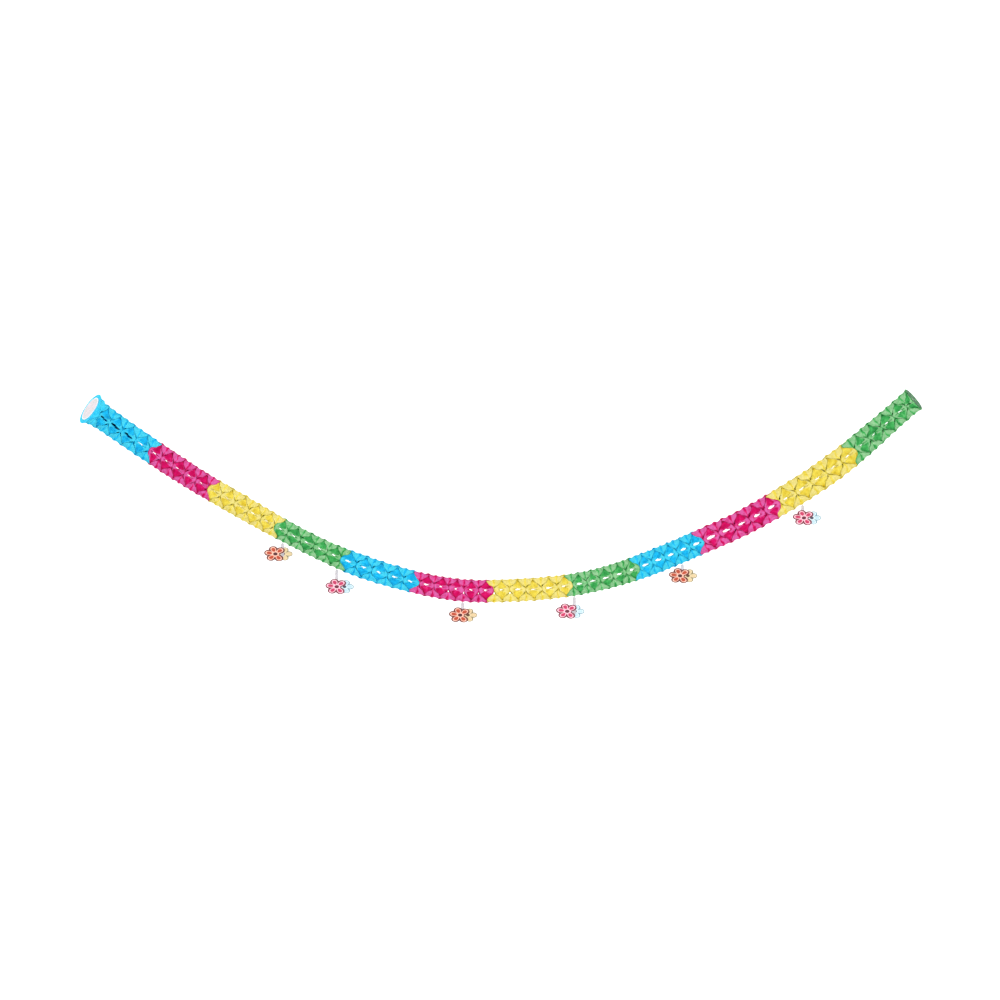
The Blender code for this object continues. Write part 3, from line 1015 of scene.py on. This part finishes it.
def petal_mark(stretch, heading, start, length, width):
    """A mark printed on a petal: round at its outer end and narrower towards the flower's middle."""
    heading = math.radians(heading)
    points = []
    for turn in mark_turns():
        share = (1 + math.cos(turn)) / 2
        out = start + length * share
        side = width / 2 * math.sin(turn) * (INNER_WIDTH + (1 - INNER_WIDTH) * share)
        x = out * math.cos(heading) - side * math.sin(heading)
        z = out * math.sin(heading) + side * math.cos(heading)
        points.append((x * stretch, z))
    return points


def spot_mark(stretch, radius):
    """A round mark in the middle of a flower."""
    return [(radius * math.cos(turn) * stretch, radius * math.sin(turn)) for turn in mark_turns()]


def box_middle(points):
    """The middle of the box round these points."""
    xs, zs = zip(*points)
    return (min(xs) + max(xs)) / 2, (min(zs) + max(zs)) / 2


def flower(name, node, shape, spread, line_share, materials):
    """A die-cut card flower over its CAD node, with its print in thin raised layers."""
    low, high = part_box(node)
    middle_x, middle_z = box_middle(flower_outline(shape, POINTS_PER_PETAL))
    centre = Vector(((low[0] + high[0]) / 2 - middle_x, 0, (low[2] + high[2]) / 2 - middle_z))
    petal_radius, reach, headings, stretch = shape
    stretch *= spread
    builder = bmesh.new()

    def layer(points, y, slot):
        """A flat face through these points at the depth y; returns its corners."""
        face = builder.faces.new([builder.verts.new(centre + Vector((x, y, z))) for x, z in points])
        face.material_index = slot
        return list(face.verts)

    outline = flower_outline((petal_radius, reach, headings, stretch), FINE_POINTS_PER_PETAL)
    front_y, back_y = low[1], high[1]
    front_ring = layer(outline, front_y, LINE_SLOT)
    back_ring = layer(outline, back_y, BACK_SLOT)
    for n in range(len(outline)):
        after = (n + 1) % len(outline)
        side = (front_ring[n], front_ring[after], back_ring[after], back_ring[n])
        builder.faces.new(side).material_index = BACK_SLOT
    bmesh.ops.recalc_face_normals(builder, faces=builder.faces)
    tip = reach + petal_radius
    line = petal_radius * line_share
    start = tip * PETAL_START_SHARE
    heart_start = tip * HEART_START_SHARE
    heart_length = tip * HEART_LENGTH_SHARE
    heart_width = petal_radius * HEART_WIDTH_SHARE
    layer(spot_mark(stretch, tip * EYE_SHARE), front_y - PRINT_LIFT / 2, PETAL_SLOT)
    for heading in headings:
        petal = petal_mark(stretch, heading, start, tip - line - start, 2 * (petal_radius - line))
        heart = petal_mark(stretch, heading, heart_start, heart_length, heart_width)
        layer(petal, front_y - PRINT_LIFT, PETAL_SLOT)
        layer(heart, front_y - 2 * PRINT_LIFT, HEART_SLOT)
    layer(spot_mark(stretch, tip * SPOT_SHARE), front_y - 3 * PRINT_LIFT, SPOT_SLOT)
    mesh = bpy.data.meshes.new(name)
    builder.to_mesh(mesh)
    builder.free()
    for material in materials:
        mesh.materials.append(material)
    return new_object(name, mesh)


def build_charms():
    """The two flower cards of each charm, and its strip's clear plastic."""
    clear = strip_material("clear_strip")
    inks = {name: print_material(name, *tints) for name, tints in INKS.items()}
    forms = {
        "front": (FRONT_FLOWER, FRONT_SPREAD, FRONT_LINE_SHARE),
        "back": (BACK_FLOWER, BACK_SPREAD, BACK_LINE_SHARE),
    }
    for number in range(1, len(CHARM_SEATS) + 1):
        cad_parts[f"strip_{number}"].material_slots[0].material = clear
        colours = CHARM_COLOURS[(number - 1) % len(CHARM_COLOURS)]
        for (side, form), colour in zip(forms.items(), colours):
            node = f"flower_{side}_{number}"
            materials = [inks[ink] for ink in FLOWER_INKS[side, colour]]
            obj = flower(f"{side}_flower_{number}", node, *form, materials)
            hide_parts(node)
            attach(obj, f"charm_{number}")


def finish_cards(route):
    """The materials of the two end cards, which keep their CAD solids."""
    left = card_material("end_card_left_card", tuple(route.point(0.0)), LEFT_CARD_RADIUS)
    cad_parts["end_card_left"].material_slots[0].material = left
    right = covered_card_material("end_card_right_card")
    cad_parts["end_card_right"].material_slots[0].material = right


# The studio


def build_floor():
    """A wide pale floor under the hung garland."""
    mesh = bpy.data.meshes.new("floor")
    builder = bmesh.new()
    bmesh.ops.create_grid(builder, x_segments=1, y_segments=1, size=FLOOR_SIZE)
    builder.to_mesh(mesh)
    builder.free()
    floor = new_object("floor", mesh)
    floor.location = (MIDDLE_X, 0.0, FLOOR_Z)
    made = Nodes("floor_pale")
    mesh.materials.append(made.finish(made.body(FLOOR_TINT, FLOOR_ROUGHNESS)))


def build_lights():
    """White surroundings and two soft lights."""
    world = bpy.data.worlds.new("studio")
    world.use_nodes = True
    background = world.node_tree.nodes["Background"]
    background.inputs["Color"].default_value = WORLD_TINT
    background.inputs["Strength"].default_value = WORLD_STRENGTH
    bpy.context.scene.world = world
    for name, place, size, power in LIGHTS:
        light = bpy.data.lights.new(name, "AREA")
        light.size = size
        light.energy = power
        lamp = new_object(name, light)
        lamp.location = place
        aim = Vector((MIDDLE_X, 0.0, LIT_Z)) - Vector(place)
        lamp.rotation_euler = aim.to_track_quat("-Z", "Y").to_euler()


def build_camera():
    """A long lens straight in front, as wide as the photograph's view."""
    lens = bpy.data.cameras.new("camera")
    lens.sensor_width = SENSOR_WIDTH
    lens.lens = SENSOR_WIDTH * CAMERA_DISTANCE / VIEW_WIDTH
    lens.clip_end = FAR_CLIP
    camera = new_object("camera", lens)
    camera.location = (MIDDLE_X, -CAMERA_DISTANCE, VIEW_Z)
    camera.rotation_euler = (math.radians(90), 0, 0)
    bpy.context.scene.camera = camera


build_camera()
route = Route()
sheets = Sheets(route)
build_tissue(route, sheets)
build_charms()
finish_cards(route)
build_floor()
build_lights()
bpy.context.scene.view_settings.view_transform = "Standard"

bpy.context.view_layer.update()
